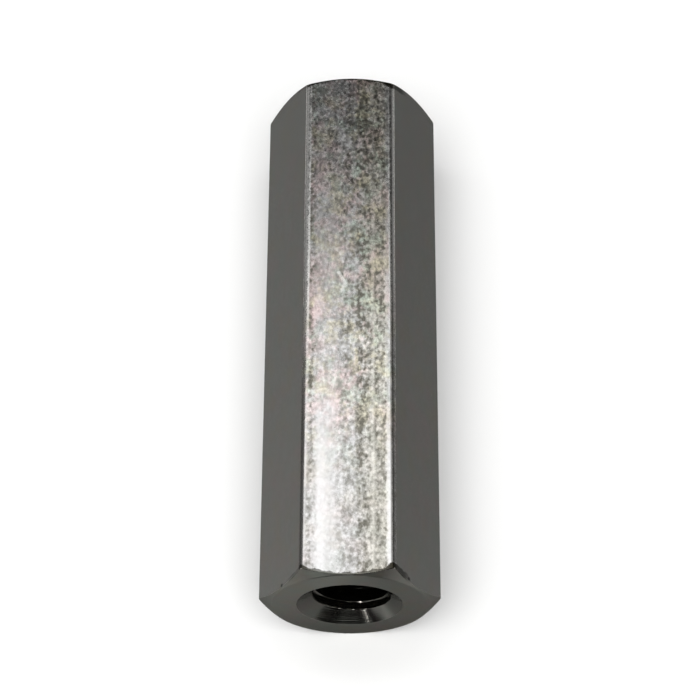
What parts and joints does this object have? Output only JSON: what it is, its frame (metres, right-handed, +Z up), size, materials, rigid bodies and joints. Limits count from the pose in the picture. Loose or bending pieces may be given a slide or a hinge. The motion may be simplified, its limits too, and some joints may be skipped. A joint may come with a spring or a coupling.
{
  "type": "hex standoff",
  "caption": "Female-to-female hexagonal standoff: a chamfered steel hex bar with a countersunk, blind tapped hole in each end.",
  "frame": {"origin": "under the middle of the bar, on the surface that it lies on", "axes": "+Y along the bar, away from the end that the picture shows; +Z up, square to the flat that it lies on; +X to the right"},
  "size_m": [0.0062, 0.02, 0.0055],
  "materials": {
    "plated_steel": "zinc-plated drawn bar with a fine pickled grain, turned ends"
  },
  "bodies": {
    "root": {"hex_standoff": "plated_steel"}
  },
  "joints": []
}
